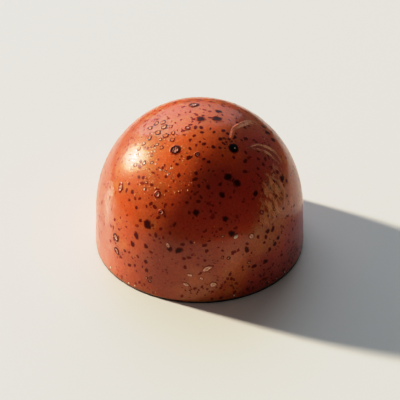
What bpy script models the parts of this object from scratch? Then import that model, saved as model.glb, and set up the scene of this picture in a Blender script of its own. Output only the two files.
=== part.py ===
"""A moulded dome praline: one turned solid of chocolate, standing on its flat base.

Metres, +Z up. The origin is the centre of the base, and +Z is the axis of the dome.
"""

import math

import bpy

# Driving dimensions.
BASE_DIAMETER = 0.028  # widest, just above the foot
HEIGHT = 0.0198
WALL_TOP = 0.0059  # height at which the near-upright wall turns into the dome
WALL_DRAFT = math.radians(3.0)  # lean of the wall, which lets the piece leave its mould
FOOT_RADIUS = 0.0004  # rounding between the base and the wall

# Fineness of the facets.
TURN_STEPS = 84
DOME_STEPS = 30
FOOT_STEPS = 5
WALL_STEPS = 4
FIT_ROUNDS = 20  # rounds until the dome's half-axes settle
MERGE_DISTANCE = 1e-6  # closes the poles and the seam, and nothing else

SHELL_COLOR = (0.52, 0.085, 0.022, 1.0)
SHELL_ROUGHNESS = 0.16


def clear_scene():
    for obj in list(bpy.data.objects):
        bpy.data.objects.remove(obj, do_unlink=True)


def shell_material():
    material = bpy.data.materials.new("coloured_shell")
    material.use_nodes = True
    principled = material.node_tree.nodes["Principled BSDF"]
    principled.inputs["Base Color"].default_value = SHELL_COLOR
    principled.inputs["Roughness"].default_value = SHELL_ROUGHNESS
    principled.inputs["Metallic"].default_value = 0.0
    return material


def foot_arc():
    """Points (radius, height) of the foot's rounding, from the wall down to the base."""
    centre_radius = BASE_DIAMETER / 2 - FOOT_RADIUS
    points = []
    for step in range(FOOT_STEPS + 1):
        share = step / FOOT_STEPS
        angle = WALL_DRAFT + share * (-math.pi / 2 - WALL_DRAFT)
        radius = centre_radius + FOOT_RADIUS * math.cos(angle)
        height = FOOT_RADIUS + FOOT_RADIUS * math.sin(angle)
        points.append((radius, height))
    return points


def wall_line(top_radius, bottom):
    """Points of the straight wall between its two ends, without the ends."""
    bottom_radius, bottom_height = bottom
    points = []
    for step in range(1, WALL_STEPS):
        share = step / WALL_STEPS
        radius = top_radius + share * (bottom_radius - top_radius)
        height = WALL_TOP + share * (bottom_height - WALL_TOP)
        points.append((radius, height))
    return points


def dome_arc(wall_radius):
    """Points of the half ellipse that leaves the wall without a kink, from the top down."""
    half_width = wall_radius
    half_height = HEIGHT - WALL_TOP
    for _ in range(FIT_ROUNDS):
        start = math.atan(half_height / half_width * math.tan(WALL_DRAFT))
        half_width = wall_radius / math.cos(start)
        half_height = (HEIGHT - WALL_TOP) / (1 - math.sin(start))
    centre_height = HEIGHT - half_height
    points = [(0.0, HEIGHT)]
    for step in range(1, DOME_STEPS + 1):
        angle = math.pi / 2 + step / DOME_STEPS * (start - math.pi / 2)
        radius = half_width * math.cos(angle)
        height = centre_height + half_height * math.sin(angle)
        points.append((radius, height))
    return points


def praline_profile():
    """Half outline at +X, from the top down the outer side and in to the base's centre."""
    foot = foot_arc()
    foot_top_radius, foot_top_height = foot[0]
    wall_radius = foot_top_radius - (WALL_TOP - foot_top_height) * math.tan(WALL_DRAFT)
    dome = dome_arc(wall_radius)
    wall = wall_line(wall_radius, foot[0])
    return dome + wall + foot + [(0.0, 0.0)]


def turned_solid(name, profile, material):
    mesh = bpy.data.meshes.new(name)
    vertices = [(radius, 0.0, height) for radius, height in profile]
    edges = [(index, index + 1) for index in range(len(profile) - 1)]
    mesh.from_pydata(vertices, edges, [])
    mesh.materials.append(material)
    solid = bpy.data.objects.new(name, mesh)
    screw = solid.modifiers.new("turn", "SCREW")
    screw.axis = "Z"
    screw.angle = math.tau
    screw.steps = TURN_STEPS
    screw.render_steps = TURN_STEPS
    screw.use_merge_vertices = True
    screw.merge_threshold = MERGE_DISTANCE
    screw.use_smooth_shade = True
    return solid


def main():
    clear_scene()
    collection = bpy.data.collections.new("chocolate_praline")
    bpy.context.scene.collection.children.link(collection)
    praline = turned_solid("praline", praline_profile(), shell_material())
    collection.objects.link(praline)


main()
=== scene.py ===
import math

import bpy
import numpy as np
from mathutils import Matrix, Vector


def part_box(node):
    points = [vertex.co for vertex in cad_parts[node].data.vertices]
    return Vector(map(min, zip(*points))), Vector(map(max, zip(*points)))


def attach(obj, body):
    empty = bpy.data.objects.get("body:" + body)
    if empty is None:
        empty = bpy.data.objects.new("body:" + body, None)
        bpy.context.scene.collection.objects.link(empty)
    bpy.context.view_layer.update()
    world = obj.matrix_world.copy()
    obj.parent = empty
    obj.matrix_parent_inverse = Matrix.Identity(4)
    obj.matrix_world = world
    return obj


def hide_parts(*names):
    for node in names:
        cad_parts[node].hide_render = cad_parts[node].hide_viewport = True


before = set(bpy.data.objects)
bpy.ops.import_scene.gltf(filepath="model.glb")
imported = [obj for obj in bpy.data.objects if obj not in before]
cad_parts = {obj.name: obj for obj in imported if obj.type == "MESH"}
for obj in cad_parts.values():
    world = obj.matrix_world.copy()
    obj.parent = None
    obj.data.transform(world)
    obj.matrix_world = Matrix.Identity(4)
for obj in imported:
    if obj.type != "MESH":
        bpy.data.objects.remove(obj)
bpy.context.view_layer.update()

mm = 0.001
pralineLow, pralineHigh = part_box("praline")
radius = (pralineHigh.x - pralineLow.x) / 2
height = pralineHigh.z

scene = bpy.context.scene
print("frame loaded, praline radius", round(radius / mm, 2), "mm, height", round(height / mm, 2), "mm")


# helpers for node trees

nodeLayout = {"across": 190, "down": 260, "perRow": 14}


def feed(tree, socket, value):
    # sets a socket, or links it when the value is a socket itself
    if isinstance(value, bpy.types.NodeSocket):
        tree.links.new(value, socket)
    else:
        socket.default_value = value


def put(tree, kind, feeds=None, **settings):
    node = tree.nodes.new(kind)
    row, column = divmod(len(tree.nodes), nodeLayout["perRow"])
    node.location = (nodeLayout["across"] * column, -nodeLayout["down"] * row)
    for name, value in settings.items():
        setattr(node, name, value)
    for key, value in (feeds or {}).items():
        feed(tree, node.inputs[key], value)
    return node


def sums(tree, operation, *values):
    return put(tree, "ShaderNodeMath", dict(enumerate(values)), operation=operation).outputs[0]


def times(tree, first, second):
    return sums(tree, "MULTIPLY", first, second)


def wander(tree, pattern, amount, around):
    # a pattern that runs from 0 to 1 made to swing either side of a value
    return sums(tree, "MULTIPLY_ADD", sums(tree, "SUBTRACT", pattern, 0.5), amount, around)


def vectors(tree, operation, *values):
    node = put(tree, "ShaderNodeVectorMath", dict(enumerate(values)), operation=operation)
    return node.outputs["Value" if operation in ("DOT_PRODUCT", "LENGTH", "DISTANCE") else "Vector"]


def scaled(tree, vector, factor):
    node = put(tree, "ShaderNodeVectorMath", {"Vector": vector, "Scale": factor}, operation="SCALE")
    return node.outputs["Vector"]


def apart(tree, vector):
    return put(tree, "ShaderNodeSeparateXYZ", {"Vector": vector}).outputs


def together(tree, *values):
    return put(tree, "ShaderNodeCombineXYZ", dict(enumerate(values))).outputs[0]


def ramp(tree, value, low, high, toLow=0.0, toHigh=1.0, smooth=True):
    feeds = {"Value": value, "From Min": low, "From Max": high, "To Min": toLow, "To Max": toHigh}
    kind = "SMOOTHSTEP" if smooth else "LINEAR"
    return put(tree, "ShaderNodeMapRange", feeds, interpolation_type=kind).outputs["Result"]


def blend(tree, share, first, second):
    # colour mix from first to second; each is a colour or a socket
    node = put(tree, "ShaderNodeMix", {"Factor": share, 6: first, 7: second}, data_type="RGBA")
    return node.outputs[2]


def noise(tree, place, scale, detail=2.0, roughness=0.5, output="Fac"):
    feeds = {"Vector": place, "Scale": scale, "Detail": detail, "Roughness": roughness}
    return put(tree, "ShaderNodeTexNoise", feeds).outputs[output]


def objectPlace(tree):
    return put(tree, "ShaderNodeTexCoord").outputs["Object"]


def pieceValue(tree, name):
    return put(tree, "ShaderNodeAttribute", attribute_name=name).outputs["Fac"]


# helpers for Geometry Nodes and plain meshes

def geometryTree(name, wanted):
    tree = bpy.data.node_groups.new(name, "GeometryNodeTree")
    tree.interface.new_socket("Geometry", in_out="INPUT", socket_type="NodeSocketGeometry")
    for label, kind in wanted.items():
        tree.interface.new_socket(label, in_out="INPUT", socket_type="NodeSocket" + kind)
    tree.interface.new_socket("Geometry", in_out="OUTPUT", socket_type="NodeSocketGeometry")
    start = put(tree, "NodeGroupInput")
    end = put(tree, "NodeGroupOutput")
    return tree, start.outputs, end.inputs


def closeTree(tree, out, geometry, material):
    # smooth shading, then the two nodes that the trees of pieces end in
    smooth = put(tree, "GeometryNodeSetShadeSmooth", {"Geometry": geometry}).outputs[0]
    real = put(tree, "GeometryNodeRealizeInstances", {"Geometry": smooth}).outputs[0]
    done = put(tree, "GeometryNodeSetMaterial", {"Geometry": real, "Material": material})
    tree.links.new(done.outputs[0], out["Geometry"])
    return tree


def position(tree):
    return put(tree, "GeometryNodeInputPosition").outputs[0]


def meshOf(tree, obj):
    return put(tree, "GeometryNodeObjectInfo", {"Object": obj}).outputs["Geometry"]


def pointValue(tree, name):
    node = put(tree, "GeometryNodeInputNamedAttribute", {"Name": name}, data_type="FLOAT")
    return node.outputs["Attribute"]


def store(tree, geometry, name, value):
    feeds = {"Geometry": geometry, "Name": name, "Value": value}
    return put(tree, "GeometryNodeStoreNamedAttribute", feeds, data_type="FLOAT",
               domain="POINT").outputs[0]


def setPlace(tree, geometry, **where):
    return put(tree, "GeometryNodeSetPosition", {"Geometry": geometry, **where}).outputs[0]


def addNodes(obj, tree, values):
    modifier = obj.modifiers.new(tree.name, "NODES")
    modifier.node_group = tree
    for item in tree.interface.items_tree:
        if item.item_type == "SOCKET" and item.in_out == "INPUT" and item.name in values:
            modifier[item.identifier] = values[item.name]


def meshObject(name, points, edges=(), faces=()):
    mesh = bpy.data.meshes.new(name)
    mesh.from_pydata([tuple(p) for p in points], list(edges), list(faces))
    obj = bpy.data.objects.new(name, mesh)
    scene.collection.objects.link(obj)
    return obj


def ringFaces(rings, segments):
    # a closed form of a first point, so many rings round it, and a last point; the faces look
    # outwards when the first point is the top one
    faces = []
    last = 1 + (rings - 1) * segments
    for step in range(segments):
        after = (step + 1) % segments
        faces.append((0, 1 + step, 1 + after))
        for inner in range(1, last, segments):
            outer = inner + segments
            faces.append((inner + step, outer + step, outer + after, inner + after))
        faces.append((last + segments, last + after, last + step))
    return faces


def settle(obj, name):
    # turns what the nodes make into a plain mesh on an object at the origin
    bpy.context.view_layer.update()
    evaluated = obj.evaluated_get(bpy.context.evaluated_depsgraph_get())
    mesh = bpy.data.meshes.new_from_object(evaluated)
    mesh.name = name
    old = obj.data
    made = bpy.data.objects.new(name, mesh)
    scene.collection.objects.link(made)
    bpy.data.objects.remove(obj)
    bpy.data.meshes.remove(old)
    print(name, len(mesh.polygons), "faces")
    return made


def ownPiece(obj, replaced=None):
    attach(obj, "root")
    if replaced:
        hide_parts(replaced)


def numbers(obj, name, values):
    attribute = obj.data.attributes.new(name, "FLOAT", "POINT")
    attribute.data.foreach_set("value", np.asarray(values, np.float32))


# outline of the praline, from the top down the outer side

outline = {
    "wallTop": 5.9 * mm,      # height where the near-upright wall turns into the dome
    "draft": 3.0,             # lean of the wall, in degrees
    "footRound": 0.4 * mm,
    "domeSteps": 420,
    "wallSteps": 60,
    "footSteps": 14,
    "tries": 20,              # rounds in which the dome's ellipse settles
}


def domeHalfAxes(wallRadius, rise, lean):
    # half-axes of the ellipse that leaves the wall without a kink
    halfWidth, halfHeight = wallRadius, rise
    for _ in range(outline["tries"]):
        start = math.atan(halfHeight / halfWidth * math.tan(lean))
        halfWidth = wallRadius / math.cos(start)
        halfHeight = rise / (1 - math.sin(start))
    return halfWidth, halfHeight, start


def halfOutline():
    lean = math.radians(outline["draft"])
    foot = outline["footRound"]
    wallTop = outline["wallTop"]
    footPoints = []
    for step in range(outline["footSteps"] + 1):
        angle = lean + step / outline["footSteps"] * (-math.pi / 2 - lean)
        footPoints.append((radius - foot + foot * math.cos(angle), foot + foot * math.sin(angle)))
    wallRadius = footPoints[0][0] - (wallTop - footPoints[0][1]) * math.tan(lean)
    halfWidth, halfHeight, start = domeHalfAxes(wallRadius, height - wallTop, lean)
    points = []
    for step in range(outline["domeSteps"] + 1):
        angle = math.pi / 2 + step / outline["domeSteps"] * (start - math.pi / 2)
        z = height - halfHeight + halfHeight * math.sin(angle)
        points.append((halfWidth * math.cos(angle), z))
    for step in range(1, outline["wallSteps"]):
        share = step / outline["wallSteps"]
        points.append((wallRadius + share * (footPoints[0][0] - wallRadius),
                       wallTop + share * (footPoints[0][1] - wallTop)))
    return points + footPoints


skinOutline = np.array(halfOutline())
skinDrops = np.concatenate([[0.0], np.cumsum(np.hypot(*np.diff(skinOutline, axis=0).T))])


def onSkin(azimuth, drop):
    # azimuth in degrees, 0 towards the front and growing to the right; drop is millimetres
    # along the surface from the very top
    r = np.interp(drop * mm, skinDrops, skinOutline[:, 0])
    z = np.interp(drop * mm, skinDrops, skinOutline[:, 1])
    turn = math.radians(azimuth)
    return Vector((r * math.sin(turn), -r * math.cos(turn), z))


def degreeLength(azimuth, drop):
    # mm along the skin for a degree of azimuth, which is less near the top
    here = onSkin(azimuth, drop)
    return math.hypot(here.x, here.y) / mm * math.pi / 180


def beside(azimuth, drop, side, along):
    # the place so many mm sideways and down the skin
    return azimuth + side / degreeLength(azimuth, drop), drop + along


# colours and finishes

finish = {
    "orange": (0.59, 0.090, 0.018, 1),
    # amber: of the wisps, which gather round the highlight as a painted glow
    "amber": (0.68, 0.180, 0.036, 1),
    # bright: lighter orange for patches of painted light on the top and the right side
    "bright": (0.92, 0.150, 0.030, 1),
    "brick": (0.37, 0.056, 0.020, 1),
    # tan: painted reflection of the lit table on the lower wall and the right side
    "tan": (0.62, 0.165, 0.060, 1),
    # deep red painted where the front and right lie in shade: painted shade
    "paintedShadeRed": (0.48, 0.056, 0.034, 1),
    "rose": (0.48, 0.080, 0.034, 1),
    # gold: of the gold dust, which also paints the mottled reflection of the lit table on the right side
    "gold": (0.84, 0.29, 0.13, 1),
    "pepper": (0.17, 0.011, 0.003, 1),
    "cocoa": (0.040, 0.0040, 0.0020, 1),
    "warmCocoa": (0.30, 0.020, 0.005, 1),
    "paintedGlintPink": (0.85, 0.38, 0.26, 1),
    "bubbleRed": (0.14, 0.022, 0.012, 1),
    "paintedGlintCream": (0.86, 0.44, 0.26, 1),
    "beadBlack": (0.005, 0.002, 0.002, 1),
    # pairs that a noise mixes
    # mist: pale amber that paints the droplets' glitter round the highlight
    "mist": ((0.80, 0.17, 0.035, 1), (0.96, 0.42, 0.16, 1)),
    "crumbAndGlint": ((0.78, 0.46, 0.28, 1), (0.90, 0.74, 0.58, 1)),
    "copper": ((0.52, 0.18, 0.09, 1), (0.86, 0.47, 0.30, 1)),
    "lustre": ((0.98, 0.38, 0.13, 1), (1.0, 0.60, 0.28, 1)),
    "bareCocoa": ((0.030, 0.011, 0.006, 1), (0.055, 0.019, 0.010, 1)),
    "gloss": 0.55,            # share of the clear outer skin
    "glossRough": 0.028,
    "glossIor": 1.5,
    "speckGloss": 0.12,       # the same share on specks and on the black beads
    "bubbleGloss": 0.2,
    "pearl": 0.07,            # share of pearl pigment, which mirrors in the sprayed colour
    "pearlRough": 0.38,
    "underSkin": 0.1,         # mirror level of the colour below the clear skin
    "depth": 1.0,             # share of the light that sinks in before it comes back
    "depthReach": (3.2 * mm, 0.8 * mm, 0.3 * mm),     # how far red, green and blue light sink in
}

sprayAndPaintedLight = {
    # azimuth and drop of the middle, reach of the full colour and of any colour in mm, share, colour
    "patches": [
        # bright patches are painted light, the deep red patches painted shade on the shaded front and right,
        # and tan patches a painted reflection of the lit table on the lower wall
        (12, 6.6, 3.6, 8.6, 1.0, "bright"), (-8, 21.5, 3.0, 9.0, 0.85, "brick"),
        (-34, 24.5, 1.5, 6.0, 0.5, "brick"), (-88, 12.0, 3.0, 8.0, 0.9, "rose"),
        (-80, 22.0, 3.0, 9.0, 0.9, "rose"), (44, 18.8, 1.6, 4.6, 0.85, "tan"),
        (28, 21.6, 1.8, 6.0, 0.9, "tan"), (2, 25.0, 1.6, 4.2, 0.6, "tan"),
        (40, 25.2, 2.5, 5.0, 0.85, "paintedShadeRed"), (26, 26.6, 1.2, 3.4, 0.85, "paintedShadeRed"),
        (22, 13.2, 2.5, 8.6, 0.95, "paintedShadeRed"), (36, 5.2, 1.0, 3.2, 0.9, "bright"),
        (34, 18.2, 0.8, 2.8, 0.7, "tan"), (60, 12.4, 1.0, 3.2, 0.5, "tan"),
        (51, 22.6, 0.6, 2.8, 0.8, "bright"), (60, 9.5, 2.0, 5.5, 0.8, "paintedShadeRed"),
        (62, 25.5, 3.0, 8.5, 0.9, "paintedShadeRed"),
    ],
    "patchEdge": 7 * mm,                    # how far the noise pushes a patch's edge in and out
    "amberGlowByHighlight": (-50, 8.5, 2.0, 10.0),     # where amber wisps gather round the highlight, as a painted glow: azimuth, drop and reaches
    "dustAndReflectionHeart": (50, 14.9),
    "dustAndReflectionBand": ((34, 17.6), (62, 12.6)),   # two places on the line that the dust follows
    "dustAndReflectionShare": 0.75,
    "pepperScale": 1250.0,
    "pepperShare": 0.85,
}


def nearSpot(tree, place, azimuth, drop, full, none):
    # 1 within the first reach of a place on the skin, fading to 0 at the second; both in mm
    away = vectors(tree, "DISTANCE", place, tuple(onSkin(azimuth, drop)))
    ragged = wander(tree, noise(tree, place, 190.0, 4.0), sprayAndPaintedLight["patchEdge"], away)
    return ramp(tree, ragged, full * mm, none * mm, 1.0, 0.0)


def goldDustAndReflection(tree, place):
    # upright flames of gold dust along a slanting band, where the side mirrors the lit table in broken
    # light: dust and painted reflection
    start, stop = (onSkin(*end) for end in sprayAndPaintedLight["dustAndReflectionBand"])
    along = (stop - start).normalized()
    off = vectors(tree, "SUBTRACT", place, tuple(onSkin(*sprayAndPaintedLight["dustAndReflectionHeart"])))
    slide = times(tree, vectors(tree, "DOT_PRODUCT", off, tuple(along)), 0.62)
    across = vectors(tree, "SUBTRACT", off, scaled(tree, tuple(along), slide))
    zone = ramp(tree, vectors(tree, "LENGTH", across), 0.7 * mm, 3.2 * mm, 1.0, 0.0)
    drawnOut = vectors(tree, "MULTIPLY", place, (1.0, 1.0, 0.35))
    flames = noise(tree, drawnOut, 1800.0, 3.0, 0.6)
    dustAndReflection = ramp(tree, sums(tree, "MULTIPLY_ADD", zone, 0.17, flames), 0.59, 0.69)
    return times(tree, dustAndReflection, zone)


def finePepper(tree, place):
    # small soft dots, some left out
    jitter = scaled(tree, noise(tree, place, 2600.0, 1.0, output="Color"), 0.22 * mm)
    dots = put(tree, "ShaderNodeTexVoronoi", {"Vector": vectors(tree, "ADD", place, jitter),
                                              "Scale": sprayAndPaintedLight["pepperScale"]})
    dotSize = put(tree, "ShaderNodeSeparateColor", {"Color": dots.outputs["Color"]}).outputs[0]
    reach = ramp(tree, dotSize, 0.35, 1.0, 0.0, 0.28, smooth=False)
    inside = sums(tree, "SUBTRACT", reach, dots.outputs["Distance"])
    return ramp(tree, inside, -0.06, 0.08, 0.0, sprayAndPaintedLight["pepperShare"])


def pigmentAndPaintedLightGroup():
    # the sprayed colour: orange with amber wisps, gathered round the highlight as a painted glow;
    # patches of other tints with ragged edges, some of them painted light, shade and reflection;
    # a drift of gold dust, partly a painted reflection; fine pepper and a slight grain
    group = bpy.data.node_groups.new("pigmentAndPaintedLight", "ShaderNodeTree")
    group.interface.new_socket("Color", in_out="OUTPUT", socket_type="NodeSocketColor")
    group.interface.new_socket("DustAndReflection", in_out="OUTPUT", socket_type="NodeSocketFloat")
    end = put(group, "NodeGroupOutput")
    place = objectPlace(group)
    wisps = noise(group, place, 420.0, 4.0, 0.6)
    paintedGlowNearHighlight = nearSpot(group, place, *sprayAndPaintedLight["amberGlowByHighlight"])
    amber = ramp(group, sums(group, "MULTIPLY_ADD", paintedGlowNearHighlight, 0.16, wisps), 0.5, 0.75, 0.0, 0.7)
    colour = blend(group, amber, finish["orange"], finish["amber"])
    for azimuth, drop, full, none, share, tint in sprayAndPaintedLight["patches"]:
        patch = nearSpot(group, place, azimuth, drop, full, none)
        colour = blend(group, times(group, patch, share), colour, finish[tint])
    dustAndReflection = goldDustAndReflection(group, place)
    colour = blend(group, times(group, dustAndReflection, sprayAndPaintedLight["dustAndReflectionShare"]), colour, finish["gold"])
    colour = blend(group, finePepper(group, place), colour, finish["pepper"])
    grain = ramp(group, noise(group, place, 3600.0), 0.3, 0.7, 0.88, 1.10)
    tone = put(group, "ShaderNodeHueSaturation", {"Value": grain, "Color": colour})
    feed(group, end.inputs[0], tone.outputs["Color"])
    feed(group, end.inputs[1], dustAndReflection)
    return group


pigmentAndPaintedLight = pigmentAndPaintedLightGroup()


def plainMaterial(name):
    material = bpy.data.materials.new(name)
    material.use_nodes = True
    tree = material.node_tree
    tree.nodes.clear()
    shader = put(tree, "ShaderNodeBsdfPrincipled")
    put(tree, "ShaderNodeOutputMaterial", {"Surface": shader.outputs["BSDF"]})
    return material, tree, shader.inputs


def sprayedAndPaintedLight(tree):
    return put(tree, "ShaderNodeGroup", node_tree=pigmentAndPaintedLight).outputs


def markMaterial(name, tearScale, tear):
    # a plain material, and how far out in its mark a point lies, from 0 in the middle to 1 at the
    # edge, wandering in and out
    material, tree, inputs = plainMaterial(name)
    torn = wander(tree, noise(tree, objectPlace(tree), tearScale), tear, pieceValue(tree, "rim"))
    return material, tree, inputs, torn


def outwards(tree, torn, colour, *bands):
    # colours from a mark's middle out; a band says where it starts, where it is full, and its colour
    for start, full, outer in bands:
        colour = blend(tree, ramp(tree, torn, start, full), colour, outer)
    return colour


def cocoaTone(tree):
    # how dark a mark is made, from near black to red-brown
    return blend(tree, pieceValue(tree, "markTone"), finish["cocoa"], finish["warmCocoa"])


def orangePeel(tree, amount=1.0):
    # slow waves, fine ripples and tiny droplets in the clear outer skin
    place = objectPlace(tree)
    beads = put(tree, "ShaderNodeTexVoronoi", {"Vector": place, "Scale": 3300.0})
    layers = (
        (noise(tree, place, 620.0), 0.06 * mm),
        (noise(tree, place, 2500.0), 0.016 * mm),
        (ramp(tree, beads.outputs["Distance"], 0.0, 0.45, 1.0, 0.0), 0.008 * mm),
    )
    feeds = {"Strength": amount}
    for heightMap, distance in layers:
        feeds.update({"Distance": distance, "Height": heightMap})
        feeds["Normal"] = put(tree, "ShaderNodeBump", feeds).outputs["Normal"]
    return feeds["Normal"]


def glossyOver(tree, inputs, colour, gloss, peel=1.0):
    # a colour under the clear skin; peel is how uneven the skin is
    feed(tree, inputs["Base Color"], colour)
    inputs["Roughness"].default_value = finish["pearlRough"]
    inputs["Specular IOR Level"].default_value = finish["underSkin"]
    inputs["Coat Weight"].default_value = gloss
    inputs["Coat Roughness"].default_value = finish["glossRough"]
    inputs["Coat IOR"].default_value = finish["glossIor"]
    if peel:
        feed(tree, inputs["Coat Normal"], orangePeel(tree, peel))


def dented(tree, inputs, pattern, strength, depth):
    bump = put(tree, "ShaderNodeBump", {"Strength": strength, "Distance": depth, "Height": pattern})
    feed(tree, inputs["Normal"], bump.outputs["Normal"])


def shellMaterial():
    material, tree, inputs = plainMaterial("colouredShell")
    colour, dustAndReflection = sprayedAndPaintedLight(tree)
    glossyOver(tree, inputs, colour, finish["gloss"])
    feed(tree, inputs["Metallic"], sums(tree, "MULTIPLY_ADD", dustAndReflection, 0.25, finish["pearl"]))
    inputs["Subsurface Weight"].default_value = finish["depth"]
    inputs["Subsurface Radius"].default_value = finish["depthReach"]
    inputs["Subsurface Scale"].default_value = 1.0
    return material


def mistMaterial():
    # droplets of the last spray, which dried proud; their pale amber paints the glitter round the highlight,
    # a painted highlight
    material, tree, inputs = plainMaterial("sprayMist")
    paintedGlitter = ramp(tree, noise(tree, objectPlace(tree), 1700.0), 0.40, 0.62)
    glossyOver(tree, inputs, blend(tree, paintedGlitter, *finish["mist"]), finish["gloss"], peel=0.0)
    return material


def speckMaterial():
    # cocoa-dark in the middle, running out through a dim red halo into the sprayed colour
    material, tree, inputs, torn = markMaterial("darkSpecks", 2400.0, 0.6)
    below = sprayedAndPaintedLight(tree)["Color"]
    colour = outwards(tree, torn, cocoaTone(tree), (0.40, 0.72, finish["pepper"]), (0.62, 0.97, below))
    colour = outwards(tree, pieceValue(tree, "rim"), colour, (0.88, 0.99, below))
    glossyOver(tree, inputs, colour, finish["speckGloss"])
    return material


def craterMaterial():
    # a burst bubble: a broad near-black ring, and inside it pale pink squiggles that paint the glints of its
    # hollow, a painted reflection
    material, tree, inputs, torn = markMaterial("burstBubbles", 3200.0, 0.35)
    lines = noise(tree, objectPlace(tree), 4300.0, 1.0)
    squiggle = sums(tree, "ABSOLUTE", sums(tree, "SUBTRACT", lines, 0.5))
    floorWithGlints = blend(tree, ramp(tree, squiggle, 0.03, 0.09), finish["paintedGlintPink"], finish["bubbleRed"])
    colour = outwards(tree, torn, floorWithGlints, (0.38, 0.52, cocoaTone(tree)), (0.62, 0.80, finish["pepper"]),
                      (0.76, 0.98, sprayedAndPaintedLight(tree)["Color"]))
    glossyOver(tree, inputs, colour, finish["bubbleGloss"], peel=2.0)
    return material


def ringMaterial():
    # a tiny bubble: thin dark ring, cream and pink within; the cream patches are painted glints
    material, tree, inputs, torn = markMaterial("tinyBubbles", 3600.0, 0.45)
    below = sprayedAndPaintedLight(tree)["Color"]
    patches = ramp(tree, noise(tree, objectPlace(tree), 3900.0, 1.0), 0.50, 0.64, 0.0, 0.8)
    floorWithGlints = blend(tree, patches, below, finish["paintedGlintCream"])
    colour = outwards(tree, torn, floorWithGlints, (0.44, 0.54, finish["cocoa"]), (0.74, 0.90, below))
    glossyOver(tree, inputs, colour, finish["bubbleGloss"], peel=2.0)
    return material


def blisterMaterial():
    # a black bead with a soft red foot
    material, tree, inputs, torn = markMaterial("darkBlister", 2200.0, 0.30)
    colour = outwards(tree, torn, finish["beadBlack"], (0.72, 0.84, finish["warmCocoa"]),
                      (0.86, 1.0, sprayedAndPaintedLight(tree)["Color"]))
    glossyOver(tree, inputs, colour, finish["speckGloss"], peel=0.0)
    return material


def crumbAndGlintMaterial():
    # crumbs of cream-coloured cocoa butter; the pale dots on the black bead, among the bubbles and by the
    # highlight paint glints
    material, tree, inputs = plainMaterial("paleCrumbs")
    cream = noise(tree, objectPlace(tree), 2500.0)
    feed(tree, inputs["Base Color"], blend(tree, cream, *finish["crumbAndGlint"]))
    inputs["Roughness"].default_value = 0.3
    return material


def copperMaterial():
    # a curled leaf of copper dust, dark round its edge and with a dark nick in its middle
    material, tree, inputs, torn = markMaterial("copperFlecks", 3000.0, 0.25)
    crumple = noise(tree, objectPlace(tree), 4200.0, 3.0)
    leaf = blend(tree, ramp(tree, crumple, 0.35, 0.65), *finish["copper"])
    feed(tree, inputs["Base Color"], outwards(tree, torn, finish["warmCocoa"], (0.08, 0.26, leaf),
                                              (0.62, 0.80, finish["warmCocoa"])))
    inputs["Metallic"].default_value = 0.2
    inputs["Roughness"].default_value = 0.36
    dented(tree, inputs, crumple, 0.8, 0.05 * mm)
    return material


def lustreMaterial():
    # brushed gold that thins out into the sprayed colour at the stroke's edges, with the gaps that
    # dry brushing leaves
    material, tree, inputs, torn = markMaterial("goldLustre", 2600.0, 1.1)
    place = objectPlace(tree)
    gold = blend(tree, ramp(tree, noise(tree, place, 5600.0), 0.35, 0.65), *finish["lustre"])
    cover = times(tree, ramp(tree, torn, 0.35, 0.95, 1.0, 0.0), pieceValue(tree, "tone"))
    gaps = ramp(tree, noise(tree, place, 3300.0, 3.0), 0.38, 0.58, 0.5, 1.0)
    cover = times(tree, sums(tree, "MINIMUM", cover, 1.0), gaps)
    glossyOver(tree, inputs, blend(tree, cover, sprayedAndPaintedLight(tree)["Color"], gold), finish["gloss"])
    feed(tree, inputs["Metallic"], times(tree, cover, 0.3))
    inputs["Roughness"].default_value = 0.34
    return material


def bareMaterial():
    material, tree, inputs = plainMaterial("bareChocolate")
    scrape = noise(tree, objectPlace(tree), 900.0, 5.0)
    feed(tree, inputs["Base Color"], blend(tree, scrape, *finish["bareCocoa"]))
    inputs["Roughness"].default_value = 0.5
    dented(tree, inputs, scrape, 0.5, 0.05 * mm)
    return material


shellFinish = shellMaterial()
speckFinish = speckMaterial()
craterFinish = craterMaterial()
ringFinish = ringMaterial()
blisterFinish = blisterMaterial()
crumbAndGlintFinish = crumbAndGlintMaterial()
mistFinish = mistMaterial()
copperFinish = copperMaterial()
lustreFinish = lustreMaterial()
bareFinish = bareMaterial()
print("finishes made")


# the coloured shell

shell = {
    "cuts": 118,               # points along a side of the cube it starts from
    "wave": 0.030 * mm,        # slow unevenness of the moulded surface
    "waveLength": 7.0 * mm,
    "ripple": 0.0035 * mm,
    "rippleLength": 1.6 * mm,
    "edgeHeight": 0.24 * mm,   # the colour stops this far above the table
    "edgeRagged": 0.26 * mm,
    "mergeReach": 0.002 * mm,
}


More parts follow.
